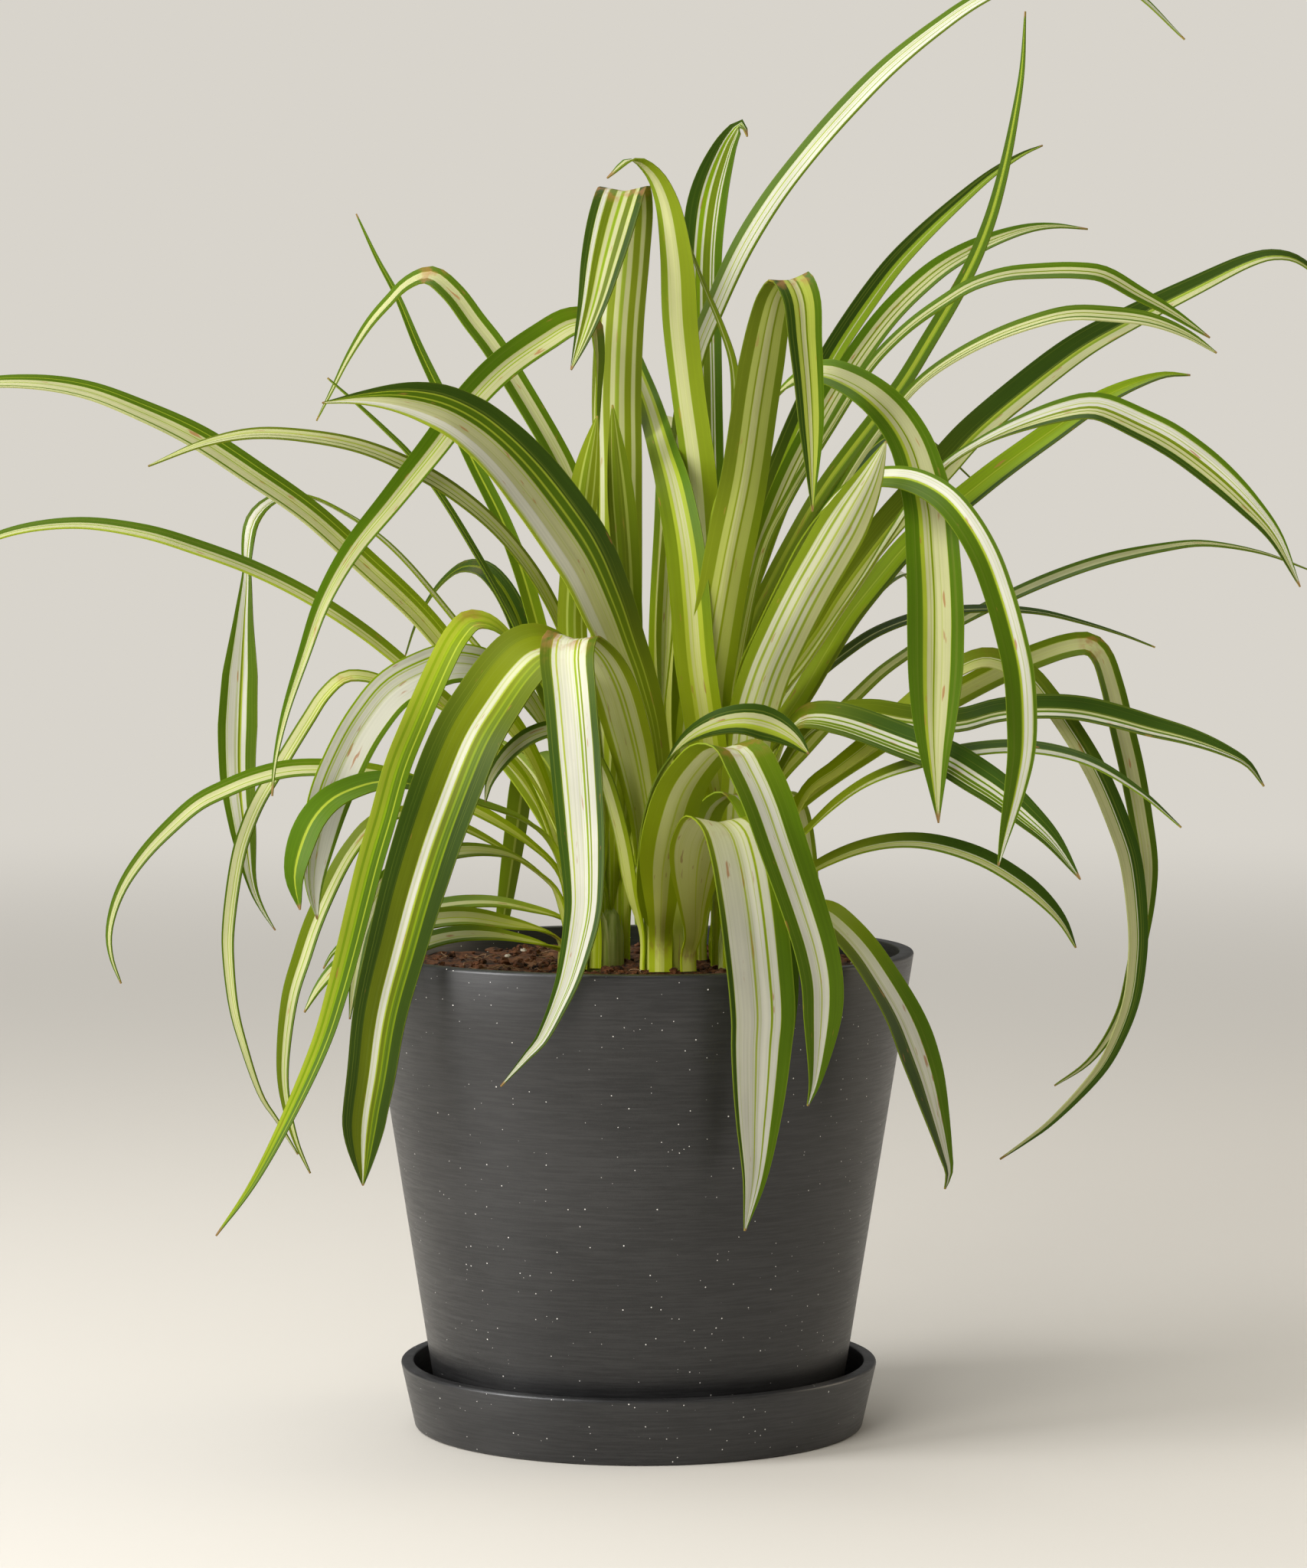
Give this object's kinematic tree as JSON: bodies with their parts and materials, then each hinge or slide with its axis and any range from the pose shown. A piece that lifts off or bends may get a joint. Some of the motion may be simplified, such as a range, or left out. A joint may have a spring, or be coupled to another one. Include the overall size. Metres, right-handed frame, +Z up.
{
  "type": "potted spider plant",
  "caption": "Clump of long arching striped leaves growing from soil in a conical pot that stands on a matching saucer.",
  "frame": {"origin": "on the pot's axis, at the saucer's underside", "axes": "+Z up, +X to the right of a viewer in front of the plant, +Y away from that viewer"},
  "size_m": [0.5417, 0.3095, 0.5295],
  "materials": {
    "composite": "matte, finely brushed",
    "soil": "rough, crumbly",
    "crown": "satin",
    "leaf": "satin"
  },
  "bodies": {
    "root": {"saucer": "composite", "pot": "composite", "soil": "soil", "crown_left": "crown", "crown_leftBack": "crown", "crown_middle": "crown", "crown_right": "crown", "crown_back": "crown", "leaf_long_left": "leaf", "leaf_bright_left": "leaf", "leaf_white_left": "leaf", "leaf_flat_left": "leaf", "leaf_arched_left": "leaf", "leaf_hidden_left": "leaf", "leaf_drooping_left": "leaf", "leaf_small_left": "leaf", "leaf_low_left": "leaf", "leaf_on_soil": "leaf", "leaf_spear_left": "leaf", "leaf_twisted_left": "leaf", "leaf_back_1": "leaf", "leaf_thin_arch": "leaf", "leaf_grey_arch": "leaf", "leaf_back_2": "leaf", "leaf_low_back": "leaf", "leaf_back_3": "leaf", "leaf_back_4": "leaf", "leaf_broad_up_left": "leaf", "leaf_folded_front": "leaf", "leaf_bright_front": "leaf", "leaf_small_front": "leaf", "leaf_arched_front": "leaf", "leaf_white_front": "leaf", "leaf_green_front": "leaf", "leaf_striped_right": "leaf", "leaf_strap_right": "leaf", "leaf_creased_right": "leaf", "leaf_corner_right": "leaf", "leaf_green_right": "leaf", "leaf_hanging_right_1": "leaf", "leaf_level_right": "leaf", "leaf_thin_right": "leaf", "leaf_hanging_right_2": "leaf", "leaf_low_right": "leaf", "leaf_slim_right": "leaf", "leaf_arched_right": "leaf", "leaf_tall_right": "leaf", "leaf_spear_right": "leaf", "leaf_slant_right": "leaf", "leaf_back_5": "leaf", "leaf_bent_right": "leaf", "leaf_straight_right": "leaf", "leaf_back_6": "leaf", "leaf_wavy_right": "leaf", "leaf_long_right": "leaf", "leaf_ribbon_right": "leaf", "leaf_back_7": "leaf", "leaf_back_8": "leaf", "leaf_back_9": "leaf"}
  },
  "joints": []
}
